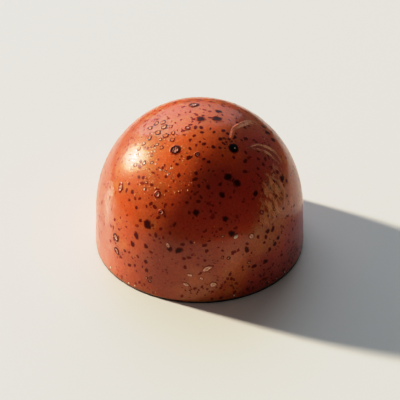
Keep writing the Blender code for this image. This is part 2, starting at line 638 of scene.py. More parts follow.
def shellTree():
    # a cube blown up to a ball, each point then sent to its place on the turned outline
    tree, given, out = geometryTree("turnedShell", {
        "Cuts": "Int", "Wave": "Float", "Wave Length": "Float", "Ripple": "Float",
        "Ripple Length": "Float", "Edge Height": "Float", "Edge Ragged": "Float",
        "Merge Reach": "Float", "Finish": "Material"})
    curve = put(tree, "GeometryNodeMeshToCurve", {"Mesh": given["Geometry"]}).outputs["Curve"]
    cuts = given["Cuts"]
    cube = put(tree, "GeometryNodeMeshCube", {"Size": (2, 2, 2), "Vertices X": cuts,
                                              "Vertices Y": cuts, "Vertices Z": cuts})
    place = position(tree)
    # evens the cells out before they go to the ball
    evened = [sums(tree, "TANGENT", times(tree, part, math.pi / 4)) for part in apart(tree, place)]
    way = apart(tree, vectors(tree, "NORMALIZE", together(tree, *evened)))
    share = sums(tree, "DIVIDE", sums(tree, "ARCCOSINE", way["Z"]), math.pi)
    sample = put(tree, "GeometryNodeSampleCurve", {"Curves": curve, "Factor": share},
                 mode="FACTOR", use_all_curves=True)
    turned = put(tree, "ShaderNodeVectorRotate", {
        "Vector": sample.outputs["Position"], "Angle": sums(tree, "ARCTAN2", way["Y"], way["X"])},
        rotation_type="Z_AXIS")
    blown = setPlace(tree, cube.outputs["Mesh"], Position=turned.outputs[0])
    blown = put(tree, "GeometryNodeMergeByDistance", {
        "Geometry": blown, "Distance": given["Merge Reach"]}).outputs[0]
    # slow waves and fine ripples along the normal
    lifts = []
    for amount, length in (("Wave", "Wave Length"), ("Ripple", "Ripple Length")):
        pattern = noise(tree, place, sums(tree, "DIVIDE", 1.0, given[length]), 1.0)
        lifts.append(times(tree, sums(tree, "SUBTRACT", pattern, 0.5), given[amount]))
    normal = put(tree, "GeometryNodeInputNormal").outputs[0]
    waved = setPlace(tree, blown, Offset=scaled(tree, normal, sums(tree, "ADD", *lifts)))
    # ragged lower edge
    low = apart(tree, place)
    edge = wander(tree, noise(tree, place, 900.0, 3.0), given["Edge Ragged"], given["Edge Height"])
    raised = together(tree, low["X"], low["Y"], sums(tree, "MAXIMUM", low["Z"], edge))
    return closeTree(tree, out, setPlace(tree, waved, Position=raised), given["Finish"])


def makeShell():
    points = [(r, 0.0, z) for r, z in skinOutline] + [(0.0, 0.0, 0.0)]
    source = meshObject("shellOutline", points, [(i, i + 1) for i in range(len(points) - 1)])
    addNodes(source, shellTree(), {
        "Cuts": shell["cuts"], "Wave": shell["wave"], "Wave Length": shell["waveLength"],
        "Ripple": shell["ripple"], "Ripple Length": shell["rippleLength"],
        "Edge Height": shell["edgeHeight"], "Edge Ragged": shell["edgeRagged"],
        "Merge Reach": shell["mergeReach"], "Finish": shellFinish})
    return settle(source, "colouredShell")


shellPiece = makeShell()
ownPiece(shellPiece, "praline")


# marks that lie on the skin: specks, spots, burst bubbles, flecks, crumbs, painted glints and droplets

def markForm(name, kind):
    # a closed low form of width 1: rings of (share of the half-width, lift), middle first
    sides = kind["sides"]
    rings = kind["profile"]
    rng = np.random.default_rng(kind["formSeed"])
    wobble = 1 + kind["uneven"] * rng.uniform(-1, 1, sides)
    points = [(0.0, 0.0, 0.0)]
    rims = [0.0]
    lifts = [rings[0][1]]
    for share, lift in rings[1:]:
        for step in range(sides):
            turn = math.tau * step / sides
            reach = 0.5 * share * wobble[step]
            points.append((reach * math.cos(turn), reach * math.sin(turn), 0.0))
            rims.append(share)
            lifts.append(lift)
    # the underside's middle, a little under the skin
    points.append((0.0, 0.0, 0.0))
    rims.append(1.0)
    lifts.append(rings[-1][1] - 0.15)
    form = meshObject(name, points, faces=ringFaces(len(rings) - 1, sides))
    numbers(form, "rim", rims)
    numbers(form, "lift", lifts)
    return form


def marksTree():
    tree, given, out = geometryTree("marksOnSkin", {
        "Skin": "Object", "Shape": "Object", "Relief": "Float", "Sink": "Float", "Ragged": "Float",
        "Ragged Length": "Float", "Finish": "Material"})
    skin = meshOf(tree, given["Skin"])
    place = position(tree)
    normal = put(tree, "GeometryNodeInputNormal").outputs[0]
    markSize = pointValue(tree, "markSize")

    def skinNormal(at):
        feeds = {"Mesh": skin, "Value": normal, "Sample Position": at}
        node = put(tree, "GeometryNodeSampleNearestSurface", feeds, data_type="FLOAT_VECTOR")
        return node.outputs["Value"]

    upright = put(tree, "FunctionNodeAlignRotationToVector", {"Vector": skinNormal(place)}, axis="Z")
    spin = put(tree, "FunctionNodeAxisAngleToRotation", {"Axis": (0, 0, 1),
                                                         "Angle": pointValue(tree, "markTurn")})
    turned = put(tree, "FunctionNodeRotateRotation", {0: upright.outputs[0], 1: spin.outputs[0]},
                 rotation_space="LOCAL")
    length = times(tree, markSize, pointValue(tree, "markStretch"))
    stamped = put(tree, "GeometryNodeInstanceOnPoints", {
        "Points": given["Geometry"], "Instance": meshOf(tree, given["Shape"]),
        "Rotation": turned.outputs[0], "Scale": together(tree, length, markSize, markSize)}).outputs[0]
    real = put(tree, "GeometryNodeRealizeInstances", {"Geometry": stamped}).outputs[0]
    # uneven outline, then down onto the skin, then up by the form's own lift
    pattern = noise(tree, place, sums(tree, "DIVIDE", 1.0, given["Ragged Length"]), 1.0, output="Color")
    push = vectors(tree, "SUBTRACT", pattern, (0.5, 0.5, 0.5))
    reach = times(tree, times(tree, markSize, given["Ragged"]), pointValue(tree, "rim"))
    moved = vectors(tree, "ADD", place, scaled(tree, push, reach))
    near = put(tree, "GeometryNodeProximity", {"Geometry": skin, "Sample Position": moved},
               target_element="FACES")
    lift = times(tree, times(tree, pointValue(tree, "lift"), markSize), given["Relief"])
    rise = scaled(tree, skinNormal(moved), sums(tree, "SUBTRACT", lift, given["Sink"]))
    laid = setPlace(tree, real, Position=vectors(tree, "ADD", near.outputs["Position"], rise))
    return closeTree(tree, out, laid, given["Finish"])


def scatterTree():
    # points strewn over the skin in clouds, each with a size, a turn, a stretch and a tone
    tree, given, out = geometryTree("strewnPoints", {
        "Skin": "Object", "Keep Clear": "Object", "Gap": "Float", "Per Square Metre": "Float",
        "Smallest": "Float", "Largest": "Float", "Bias": "Float", "Clouded": "Float",
        "Lowest": "Float", "Middle": "Vector", "Near": "Float", "Far": "Float", "Elsewhere": "Float",
        "Seed": "Int"})
    place = position(tree)
    clouds = ramp(tree, noise(tree, place, 230.0), 0.42, 0.62)
    share = put(tree, "ShaderNodeMix", {"Factor": given["Clouded"], 2: 1.0, 3: clouds},
                data_type="FLOAT").outputs[0]
    gathered = ramp(tree, vectors(tree, "DISTANCE", place, given["Middle"]), given["Near"],
                    given["Far"], 1.0, given["Elsewhere"], smooth=False)
    density = times(tree, given["Per Square Metre"], times(tree, share, gathered))
    strewn = put(tree, "GeometryNodeDistributePointsOnFaces", {
        "Mesh": meshOf(tree, given["Skin"]), "Density": density, "Seed": given["Seed"]},
        distribute_method="RANDOM")
    near = put(tree, "GeometryNodeProximity", {"Geometry": meshOf(tree, given["Keep Clear"])},
               target_element="POINTS")
    unwanted = [put(tree, "FunctionNodeCompare", {0: value, 1: least}, operation="LESS_THAN").outputs[0]
                for value, least in ((apart(tree, place)["Z"], given["Lowest"]),
                                     (near.outputs["Distance"], given["Gap"]))]
    either = put(tree, "FunctionNodeBooleanMath", dict(enumerate(unwanted)), operation="OR")
    kept = put(tree, "GeometryNodeDeleteGeometry", {
        "Geometry": strewn.outputs["Points"], "Selection": either.outputs[0]},
        domain="POINT").outputs[0]
    kept = put(tree, "GeometryNodePointsToVertices", {"Points": kept}).outputs[0]

    def chance(low, high, shift):
        seed = sums(tree, "ADD", given["Seed"], shift)
        node = put(tree, "FunctionNodeRandomValue", {2: low, 3: high, "Seed": seed}, data_type="FLOAT")
        return node.outputs[1]

    ratio = sums(tree, "DIVIDE", given["Largest"], given["Smallest"])
    growth = sums(tree, "POWER", ratio, sums(tree, "POWER", chance(0.0, 1.0, 11), given["Bias"]))
    facts = {"markSize": times(tree, given["Smallest"], growth), "markTurn": chance(0.0, math.pi, 23),
             "markStretch": chance(1.0, 1.6, 37), "markTone": chance(0.5, 1.0, 51)}
    for name, value in facts.items():
        kept = store(tree, kept, name, value)
    tree.links.new(kept, out["Geometry"])
    return tree


marksOnSkin = marksTree()
strewnPoints = scatterTree()

# a kind's placed marks are azimuth, drop and width, then stretch, turn and redness where they
# matter; its drifts are azimuth, drop, reach in mm, how many, smallest and largest width in mm

drift = {
    "tries": 20,              # for each mark wanted
    "drops": (0.4, 26.6),     # highest and lowest place of a mark, in mm down the skin
    "clearance": 0.55,        # least distance between two marks, as a share of their summed widths
    "stretch": (1.0, 1.5),
}

spots = {
    "profile": [(0.0, 1.0), (0.45, 1.0), (0.7, 0.9), (0.88, 0.6), (1.0, -0.4)],
    "sides": 16,
    "formSeed": 5,
    "uneven": 0.10,
    "relief": 0.005,
    "sink": 0.0015 * mm,
    "ragged": 0.55,
    "raggedLength": 0.36 * mm,
    "placed": [
        (22, 10.5, 1.25), (27, 11.5, 1.2), (25, 11, 0.7),                # the pair on the front
        (5, 1.5, 1.4, 1.1, 0), (60, 2.5, 1.5, 1.1, 0), (100, 2.5, 1.0),  # on the top, seen flat
        (-30, 17, 1.3, 1.35, 95),
        (-36, 19, 0.85, 1.7, 85), (-38, 20.5, 0.8, 1.5, 70),             # long ones at the left
        (-11, 19.5, 0.95, 1.4, 20), (-16, 19.5, 0.85),
        (-2, 14.5, 1.05), (15, 12.5, 1.0), (15, 15.5, 0.95), (18, 17.5, 1.05), (38, 13.5, 0.95),
        (88, 10.5, 0.9, 1.4, 40), (92, 9.5, 0.95, 1.6, 40), (98, 9, 0.8, 1.6, 40),
        (64, 14, 1.1, 1.2, 60), (30, 23, 0.75, 1.4, 20), (37, 23, 0.85, 1.3, 20),
    ],
    "drifts": [
        (5, 5, 2.4, 13, 0.4, 0.65), (60, 5, 2.2, 6, 0.5, 0.85), (-5, 9, 2.4, 7, 0.45, 0.75),
        (5, 13, 2.8, 6, 0.45, 0.65), (-42, 13.5, 2.2, 10, 0.45, 0.7), (-27, 16, 2.8, 9, 0.45, 0.65),
        (-32, 22.5, 2.8, 6, 0.5, 0.8), (0, 20.5, 3.2, 8, 0.45, 0.65), (45, 9.5, 2.6, 9, 0.5, 0.65),
        (38, 20.5, 3.0, 9, 0.5, 0.8), (64, 14, 1.1, 3, 0.55, 0.7), (150, 12, 8, 9, 0.5, 0.9),
        (-120, 17, 6, 6, 0.6, 0.9),
    ],
    "seed": 3,
}

craters = {
    "profile": [(0.0, 0.15), (0.25, 0.18), (0.42, 0.4), (0.56, 0.95), (0.7, 1.0), (0.86, 0.45), (1.0, -0.2)],
    "sides": 20,
    "formSeed": 8,
    "uneven": 0.08,
    "relief": 0.07,
    "sink": 0.0015 * mm,
    "ragged": 0.25,
    "raggedLength": 0.5 * mm,
    "placed": [
        (-27, 7, 1.5, 1.05, 20), (-157, 2, 1.4, 1.2, 10), (-26, 3.5, 0.85, 1.1, 0, 0.9),
        (-57, 14.5, 1.15, 1.35, 60, 1.2), (-28, 13, 1.0, 1.1, 30, 0.8), (-23, 15, 0.9, 1.1, 0, 0.9),
        (-51, 21, 1.15, 1.4, 90), (-50, 23, 1.0, 1.4, 85), (38, 16, 0.75, 1.1, 0, 1.2),
    ],
    "drifts": [(-5, 8, 1.0, 1, 0.6, 0.8), (17, 20.5, 0.8, 1, 0.6, 0.8), (170, 15, 9, 5, 0.7, 1.2)],
    "seed": 5,
}

tinyRings = {
    "profile": [(0.0, 0.3), (0.35, 0.4), (0.6, 1.0), (0.8, 0.7), (1.0, -0.2)],
    "sides": 12,
    "formSeed": 12,
    "uneven": 0.12,
    "relief": 0.05,
    "sink": 0.0015 * mm,
    "ragged": 0.35,
    "raggedLength": 0.3 * mm,
    "placed": [],
    # round the bright patch, above it, below it, and a few elsewhere
    "drifts": [
        (-52, 9, 2.2, 9, 0.5, 0.75), (-66, 5.8, 1.9, 9, 0.6, 0.95), (-46, 5.5, 1.2, 3, 0.7, 0.9),
        (-39, 12.3, 0.6, 2, 0.45, 0.6), (-26, 9.6, 0.8, 2, 0.35, 0.4), (-28, 25.5, 1.6, 3, 0.5, 0.55),
        (25, 19, 6, 4, 0.4, 0.55), (150, 12, 6, 3, 0.5, 0.6),
    ],
    "seed": 9,
}

blister = {
    "profile": [(0.0, 1.0), (0.25, 0.95), (0.5, 0.8), (0.7, 0.56), (0.85, 0.3), (0.95, 0.1), (1.0, -0.1)],
    "sides": 28,
    "formSeed": 9,
    "uneven": 0.02,
    "relief": 0.045,
    "sink": 0.0015 * mm,
    "ragged": 0.10,
    "raggedLength": 0.5 * mm,
    "placed": [(38, 7.2, 1.55, 1.0, 0), (-150, 16, 1.2, 1.0, 0)],
}

crumbsAndGlints = {
    "profile": [(0.0, 1.0), (0.6, 0.8), (0.9, 0.3), (1.0, -0.2)],
    "sides": 7,
    "formSeed": 14,
    "uneven": 0.25,
    "relief": 0.35,
    "sink": 0.0015 * mm,
    "ragged": 0.4,
    "raggedLength": 0.12 * mm,
    # the placed ones are painted glints: one on the black bead, one on the front and one by the highlight
    "placed": [(39, 7.3, 0.26), (20, 18, 0.42, 1.5, 60), (-38, 13, 0.24)],
    # pale dots among the bubbles that paint glints, then crumbs along the foot
    "drifts": [(-44, 8.3, 1.6, 6, 0.16, 0.24), (-30, 9.5, 1.5, 3, 0.15, 0.22)],
    "alongFoot": 20,
    "footDrop": (26.4, 26.9),
    "footWidths": (0.16, 0.30),
    "seed": 17,
}

flecks = {
    "profile": [(0.0, 0.8), (0.25, 0.85), (0.5, 1.0), (0.7, 0.7), (0.9, 0.8), (1.0, -0.2)],
    "sides": 14,
    "formSeed": 10,
    "uneven": 0.16,
    "relief": 0.07,
    "sink": 0.0015 * mm,
    "ragged": 0.5,
    "raggedLength": 0.3 * mm,
    "placed": [
        (4, 22, 0.85, 1.8, 35), (7, 24.5, 0.85, 1.3, 10), (-7, 24.5, 0.6, 1.6, -30),
        (-5, 23, 0.5, 1.5, -30), (1, 23.5, 0.45, 1.4, -40), (-17, 19, 0.55, 1.5, 100),
        (29, 18.5, 0.75, 1.2, 20),
    ],
    "drifts": [(180, 18, 12, 6, 0.5, 0.8)],
    "seed": 13,
}

specks = {
    "profile": [(0.0, 1.0), (0.45, 1.0), (0.8, 0.8), (1.0, -0.4)],
    "sides": 9,
    "formSeed": 6,
    "uneven": 0.16,
    "relief": 0.012,
    "sink": 0.0015 * mm,
    "ragged": 0.55,
    "raggedLength": 0.25 * mm,
    "perSquareMetre": 2300000.0,
    "smallest": 0.18 * mm,
    "largest": 0.58 * mm,
    "bias": 1.5,               # above 1, more of them are small
    "gap": 0.62 * mm,
    "clouded": 0.75,           # 0 is evenly strewn, 1 leaves places bare
    "lowest": 0.7 * mm,
    "middle": (0, 0),
    "near": 0.0,
    "far": 1.0,
    "elsewhere": 1.0,          # as thick everywhere
    "seed": 7,
}

droplets = {
    "profile": [(0.0, 1.0), (0.5, 0.78), (1.0, -0.1)],
    "sides": 8,
    "formSeed": 11,
    "uneven": 0.0,
    "relief": 0.13,
    "sink": 0.001 * mm,
    "ragged": 0.0,
    "raggedLength": 0.5 * mm,
    "perSquareMetre": 9000000.0,
    "smallest": 0.08 * mm,
    "largest": 0.20 * mm,
    "bias": 1.8,
    "gap": 0.3 * mm,
    "clouded": 0.4,
    "lowest": 0.7 * mm,
    "middle": (-38, 9.2),      # azimuth and drop of the place where they are thickest
    "near": 2.0 * mm,
    "far": 5.8 * mm,
    "elsewhere": 0.02,
    "seed": 19,
}


def drifted(kind, clearOf=()):
    # the placed marks of a kind, then its drifts, with no mark on top of another
    rng = np.random.default_rng(kind["seed"])
    rows = list(kind["placed"])
    highest, lowest = drift["drops"]
    for azimuth, drop, reach, count, smallest, largest in kind["drifts"]:
        wanted = len(rows) + count
        for _ in range(drift["tries"] * count):
            away, way = reach * math.sqrt(rng.uniform()), rng.uniform(0, math.tau)
            aside, down = beside(azimuth, drop, away * math.cos(way), away * math.sin(way))
            down = min(max(down, highest), lowest)
            width = rng.uniform(smallest, largest)
            spot = onSkin(aside, down)
            if all((onSkin(*row[:2]) - spot).length > drift["clearance"] * (row[2] + width) * mm
                   for row in rows + list(clearOf)):
                rows.append((aside, down, width, rng.uniform(*drift["stretch"]), rng.uniform(0, 180)))
            if len(rows) == wanted:
                break
    return rows


def footCrumbs():
    rng = np.random.default_rng(crumbsAndGlints["seed"] + 1)
    return [(rng.uniform(-180, 180), rng.uniform(*crumbsAndGlints["footDrop"]), rng.uniform(*crumbsAndGlints["footWidths"]))
            for _ in range(crumbsAndGlints["alongFoot"])]


def redness(width):
    # the smaller a mark, the redder; full from 0.45 mm down and none from 0.95 mm up
    return 0.5 * min(1.0, max(0.0, (0.95 - width) / 0.5))


def placedPoints(name, rows):
    # where a row stops short, its mark is a little long, and turned 0.7 radians for each row above
    points = meshObject(name, [onSkin(*row[:2]) for row in rows])
    numbers(points, "markSize", [row[2] * mm for row in rows])
    numbers(points, "markStretch", [row[3] if len(row) > 3 else 1.1 for row in rows])
    numbers(points, "markTurn", [math.radians(row[4]) if len(row) > 4 else 0.7 * i
                                 for i, row in enumerate(rows)])
    numbers(points, "markTone", [row[5] if len(row) > 5 else redness(row[2]) for row in rows])
    return points


def strew(name, kind, keepClear):
    points = meshObject(name, [])
    addNodes(points, strewnPoints, {
        "Skin": shellPiece, "Keep Clear": keepClear, "Gap": kind["gap"],
        "Per Square Metre": kind["perSquareMetre"], "Smallest": kind["smallest"],
        "Largest": kind["largest"], "Bias": kind["bias"], "Clouded": kind["clouded"],
        "Lowest": kind["lowest"], "Middle": tuple(onSkin(*kind["middle"])), "Near": kind["near"],
        "Far": kind["far"], "Elsewhere": kind["elsewhere"], "Seed": kind["seed"]})
    return points


def stamp(name, kind, points, finishMaterial):
    # the kind's form on each point, laid down onto the shell
    form = markForm(name + "Form", kind)
    addNodes(points, marksOnSkin, {
        "Skin": shellPiece, "Shape": form, "Relief": kind["relief"], "Sink": kind["sink"],
        "Ragged": kind["ragged"], "Ragged Length": kind["raggedLength"], "Finish": finishMaterial})
    made = settle(points, name)
    bpy.data.objects.remove(form)
    return made


def makeMarks():
    # each kind's drifts keep clear of the marks set before them, crumbs and painted glints apart,
    # and what is strewn keeps clear of the middles of all of those marks
    craterRows = drifted(craters, blister["placed"] + spots["placed"] + flecks["placed"])
    fleckRows = drifted(flecks, craterRows + spots["placed"])
    ringRows = drifted(tinyRings, craterRows + fleckRows + spots["placed"])
    spotRows = drifted(spots, blister["placed"] + craterRows + fleckRows + ringRows)
    taken = placedPoints("takenPoints", spotRows + craterRows + blister["placed"] + fleckRows + ringRows)
    made = {"strewnSpecks": stamp("strewnSpecks", specks, strew("speckPoints", specks, taken), speckFinish)}
    for name, kind, rows, finishMaterial in (
            ("darkSpots", spots, spotRows, speckFinish),
            ("burstBubbles", craters, craterRows, craterFinish),
            ("tinyBubbles", tinyRings, ringRows, ringFinish),
            ("darkBlisters", blister, blister["placed"], blisterFinish),
            ("copperFlecks", flecks, fleckRows, copperFinish),
            ("paleCrumbs", crumbsAndGlints, drifted(crumbsAndGlints) + footCrumbs(), crumbAndGlintFinish)):
        made[name] = stamp(name, kind, placedPoints(name + "Points", rows), finishMaterial)
    made["sprayMist"] = stamp("sprayMist", droplets, strew("dropPoints", droplets, taken), mistFinish)
    bpy.data.objects.remove(taken)
    return made


marks = makeMarks()
for name, slotName in (("strewnSpecks", "dark_specks"), ("darkSpots", "dark_specks"),
                       ("burstBubbles", "dark_specks"), ("darkBlisters", "dark_specks"),
                       ("tinyBubbles", "dark_specks"), ("copperFlecks", "copper_flecks"),
                       ("paleCrumbs", "copper_flecks"), ("sprayMist", "coloured_shell")):
    ownPiece(marks[name])


# bare chocolate under the shell

base = {
    "inset": 0.03 * mm,
    "thick": 0.36 * mm,
    "segments": 260,
    "ragged": 0.05 * mm,
    "waves": (5, 11, 19, 31, 47, 68),      # how many times each unevenness runs round the rim
    "seed": 21,
}


def makeBase():
    rng = np.random.default_rng(base["seed"])
    outer = radius - base["inset"]
    thick = base["thick"]
    turns = np.arange(base["segments"]) * math.tau / base["segments"]
    wobble = sum(rng.uniform(-1, 1) * np.sin(turns * wave + rng.uniform(0, math.tau)) / 4
                 for wave in base["waves"]) * base["ragged"]
    # share of the radius, and height, from the middle of the underside round to the top
    levels = [(0.6, 0.0), (0.992, 0.0), (1.0, 0.05 * mm), (0.999, 0.20 * mm), (0.985, thick), (0.6, thick)]
    points = [(0, 0, 0)]
    for share, z in levels:
        for turn, shift in zip(turns, wobble):
            reach = share * (outer + shift)
            points.append((reach * math.sin(turn), -reach * math.cos(turn), z))
    points.append((0, 0, thick))
    # turned over, since the first point is the lowest here
    faces = [(face[0], *face[:0:-1]) for face in ringFaces(len(levels), base["segments"])]
    made = meshObject("scrapedBase", points, faces=faces)
    made.data.materials.append(bareFinish)
    made.data.shade_smooth()
    print("scrapedBase", len(faces), "faces")
    return made


ownPiece(makeBase())


# gold lustre brushed on in thin strands

lustre = {
    "strokes": [
        # azimuth and drop of the points it runs through, widest mm, strands, brightness
        ([(40, 6.2), (60, 5.2), (85, 6), (96, 7.5), (92, 9)], 0.80, 8, 1.0),
        ([(78, 5.8), (88, 6.2), (96, 7.5)], 0.45, 4, 1.8),
        ([(50, 8), (66, 8.7), (75, 11), (73, 13)], 0.50, 5, 1.4),
        ([(55, 8.2), (66, 10), (71, 13)], 0.45, 4, 1.1),
        ([(53, 12), (54, 14), (57, 16)], 0.80, 6, 0.6),
        ([(61, 13.5), (60, 15.5), (56, 17)], 0.70, 5, 0.6),
        ([(46, 12.5), (47, 14), (50, 15.5)], 1.00, 6, 0.5),
        ([(43, 14.5), (45, 16), (47, 17.5)], 1.00, 6, 0.5),
        ([(50, 15.5), (51, 17), (54, 18)], 0.90, 5, 0.5),
        ([(36, 16.5), (38, 17.5), (37, 18.5)], 0.80, 4, 0.4),
    ],
    "ribbonTone": 0.16,            # brightness of the broad ribbon under the strands
    "relief": 0.006 * mm,
    "firstUp": 1.6,                # height of the first strand, in reliefs
    "stepUp": 0.3,                 # how much higher each next strand lies
    "halfWidths": (0.035, 0.085),  # of a strand, in mm
    "starts": (0, 0.5),            # where a strand begins and ends along its stroke
    "stops": (0.6, 1.0),
    "tones": (0.6, 1.0),
    "astray": 0.4,                 # how far a strand may stray sideways, in strand widths
    "lookAhead": 0.02,             # share of a stroke over which its direction is taken
    "linePoints": 9,
    "sweptPoints": 46,
    "profilePoints": 10,
    "thinnest": 0.003 * mm,
    "uneven": 1.2,
    "seed": 31,
}


def strandTree():
    # strands swept along smooth lines, then pressed almost flat against the skin
    tree, given, out = geometryTree("lustreStrands", {
        "Skin": "Object", "Steps": "Int", "Sides": "Int", "Thinnest": "Float", "Uneven": "Float",
        "Finish": "Material"})
    place = position(tree)
    curve = put(tree, "GeometryNodeMeshToCurve", {"Mesh": given["Geometry"]}).outputs["Curve"]
    curve = put(tree, "GeometryNodeCurveSplineType", {"Curve": curve},
                spline_type="CATMULL_ROM").outputs[0]
    curve = put(tree, "GeometryNodeResampleCurve", {"Curve": curve, "Count": given["Steps"]}).outputs[0]
    share = put(tree, "GeometryNodeSplineParameter").outputs["Factor"]
    taper = sums(tree, "POWER", sums(tree, "SINE", times(tree, share, math.pi)), 0.6)
    swell = wander(tree, noise(tree, place, 1100.0, 1.0), given["Uneven"], 1.0)
    width = times(tree, times(tree, pointValue(tree, "halfWidth"), taper), swell)
    kept = store(tree, curve, "reach", sums(tree, "MAXIMUM", width, given["Thinnest"]))
    reach = pointValue(tree, "reach")
    circle = put(tree, "GeometryNodeCurvePrimitiveCircle", {"Resolution": given["Sides"], "Radius": 1.0})
    swept = put(tree, "GeometryNodeCurveToMesh", {
        "Curve": kept, "Profile Curve": circle.outputs[0], "Scale": reach,
        "Fill Caps": True}).outputs[0]
    near = put(tree, "GeometryNodeProximity", {"Geometry": meshOf(tree, given["Skin"])},
               target_element="FACES").outputs["Position"]
    away = vectors(tree, "SUBTRACT", place, near)
    # the strand's round section tells how far out a point lies once it is flat
    proud = sums(tree, "DIVIDE", vectors(tree, "LENGTH", away), reach)
    inward = sums(tree, "MAXIMUM", 0.0, sums(tree, "SUBTRACT", 1.0, times(tree, proud, proud)))
    marked = store(tree, swept, "rim", sums(tree, "SQRT", inward))
    pressed = scaled(tree, away, sums(tree, "DIVIDE", pointValue(tree, "lift"), reach))
    laid = setPlace(tree, marked, Position=vectors(tree, "ADD", near, pressed))
    return closeTree(tree, out, laid, given["Finish"])


def alongPath(path, share):
    # a smooth curve through the points of a stroke
    last = len(path) - 1
    at = min(max(share, 0.0), 1.0) * last
    index = min(int(at), last - 1)
    t = at - index
    before, start, stop, after = (path[min(max(index + step, 0), last)] for step in (-1, 0, 1, 2))
    bend = (2 * before - 5 * start + 4 * stop - after) * t ** 2
    twist = (3 * start - before - 3 * stop + after) * t ** 3
    return 0.5 * (2 * start + (stop - before) * t + bend + twist)


def besidePath(path, share, side):
    # the point so far along a stroke, moved so many mm to one side of it
    azimuth, drop = alongPath(path, share)
    step = lustre["lookAhead"]
    ahead = alongPath(path, share + step) - alongPath(path, share - step)
    alongAzimuth, alongDrop = ahead * (degreeLength(azimuth, drop), 1.0)
    length = math.hypot(alongAzimuth, alongDrop)
    return onSkin(*beside(azimuth, drop, -side * alongDrop / length, side * alongAzimuth / length))


def strokeRuns(broad, strands, bright, rng):
    # one broad dim ribbon with thin bright strands over it, each as how far to the side in mm,
    # start, stop, half width in mm, brightness and lift
    relief = lustre["relief"]
    runs = [(0.0, 0.0, 1.0, 0.5 * broad, bright * lustre["ribbonTone"], relief)]
    for strand in range(strands):
        stray = rng.uniform(-lustre["astray"], lustre["astray"])
        side = (strand - (strands - 1) / 2 + stray) * broad / strands
        runs.append((side, rng.uniform(*lustre["starts"]), rng.uniform(*lustre["stops"]),
                     rng.uniform(*lustre["halfWidths"]), bright * rng.uniform(*lustre["tones"]),
                     relief * (lustre["firstUp"] + lustre["stepUp"] * strand)))
    return runs


def makeLustre():
    rng = np.random.default_rng(lustre["seed"])
    last = lustre["linePoints"] - 1
    points, edges, facts = [], [], []
    for path, broad, strands, bright in lustre["strokes"]:
        path = np.array(path, float)
        for side, start, stop, half, tone, lift in strokeRuns(broad, strands, bright, rng):
            for step in range(lustre["linePoints"]):
                points.append(besidePath(path, start + (stop - start) * step / last, side))
                facts.append((half * mm, tone, lift))
                if step:
                    edges.append((len(points) - 2, len(points) - 1))
    source = meshObject("strandLines", points, edges)
    for name, column in zip(("halfWidth", "tone", "lift"), zip(*facts)):
        numbers(source, name, column)
    addNodes(source, strandTree(), {
        "Skin": shellPiece, "Steps": lustre["sweptPoints"], "Sides": lustre["profilePoints"],
        "Thinnest": lustre["thinnest"], "Uneven": lustre["uneven"], "Finish": lustreFinish})
    return settle(source, "goldLustre")


ownPiece(makeLustre())


# table, light and camera

light = {
    "azimuth": -114.5,
    "elevation": 21.5,
    "strength": 6.7,
    "softness": 4.5,
    "colour": (1.0, 0.92, 0.76),
    "ceiling": 0.17,        # soft light from above that no gloss shows
    "ceilingHeight": 1.3,
    "ceilingColour": (1.0, 0.96, 0.92, 1),
    "room": 0.16,
    "roomColour": (0.82, 0.91, 1.0, 1),
    "roomDark": (30, 20),   # azimuth and elevation of the side that is darkest
}

sunGlow = {
    "azimuth": -113.0,
    "elevation": 22.0,      # of the slanted oval's middle
    "long": 21.0,           # half-lengths of the oval, in degrees
    "short": 10.0,
    "slant": 45.0,
    "core": 28.0,           # strengths, from the middle out
    "plate": 9.5,
    "rim": 1.5,
    "torn": 0.5,
    "colour": (1.0, 0.93, 0.70, 1),
    "distance": 0.5,
    "above": 0.6 * height,  # the point that the glow is aimed round
    "margin": 1.35,         # size of the disc against the oval
    "sides": 96,
}

window = {
    # left or right of the middle, and height, in metres
    "corners": [(-0.36, 0.07), (0.20, 0.075), (0.31, 0.45), (0.28, 0.78), (0.13, 0.92), (-0.08, 0.88),
                (-0.30, 1.06), (-0.50, 1.25), (-0.58, 0.71), (-0.52, 0.32)],
    "behind": 0.5,
    "left": 3.5,                  # strengths
    "right": 1.25,
    "turnOver": (-0.40, 0.05),    # where the left strength ends and the right one begins
    "fadeHeights": (0.05, 0.35),  # half as strong below the first, full above the second
    "fill": 1.4,                  # what the window adds to the table and the shaded sides
    "fillBehind": 0.52,
    "colour": (0.74, 0.87, 1.0, 1),
}


def toward(azimuth, elevation):
    turn, rise = math.radians(azimuth), math.radians(elevation)
    return Vector((math.sin(turn) * math.cos(rise), -math.cos(turn) * math.cos(rise), math.sin(rise)))


def glow(name, strength, colour):
    material = bpy.data.materials.new(name)
    material.use_nodes = True
    tree = material.node_tree
    tree.nodes.clear()
    shine = put(tree, "ShaderNodeEmission", {"Color": colour, "Strength": strength})
    put(tree, "ShaderNodeOutputMaterial", {"Surface": shine.outputs[0]})
    return material, tree, shine.inputs["Strength"]


def lightSheet(name, points, material, mirrored):
    # a sheet the camera doesn't see: either gloss mirrors it, or it throws soft light
    sheet = meshObject(name, points, faces=[tuple(range(len(points)))])
    sheet.data.materials.append(material)
    sheet.visible_camera = False
    sheet.visible_diffuse = not mirrored
    sheet.visible_glossy = mirrored
    sheet.visible_shadow = False
    sheet.visible_transmission = False
    sheet.visible_volume_scatter = False


def makeSun():
    lamp = bpy.data.lights.new("lowSun", "SUN")
    lamp.energy = light["strength"]
    lamp.angle = math.radians(light["softness"])
    lamp.color = light["colour"]
    sun = bpy.data.objects.new("lowSun", lamp)
    scene.collection.objects.link(sun)
    sun.rotation_euler = toward(light["azimuth"], light["elevation"]).to_track_quat("Z", "Y").to_euler()


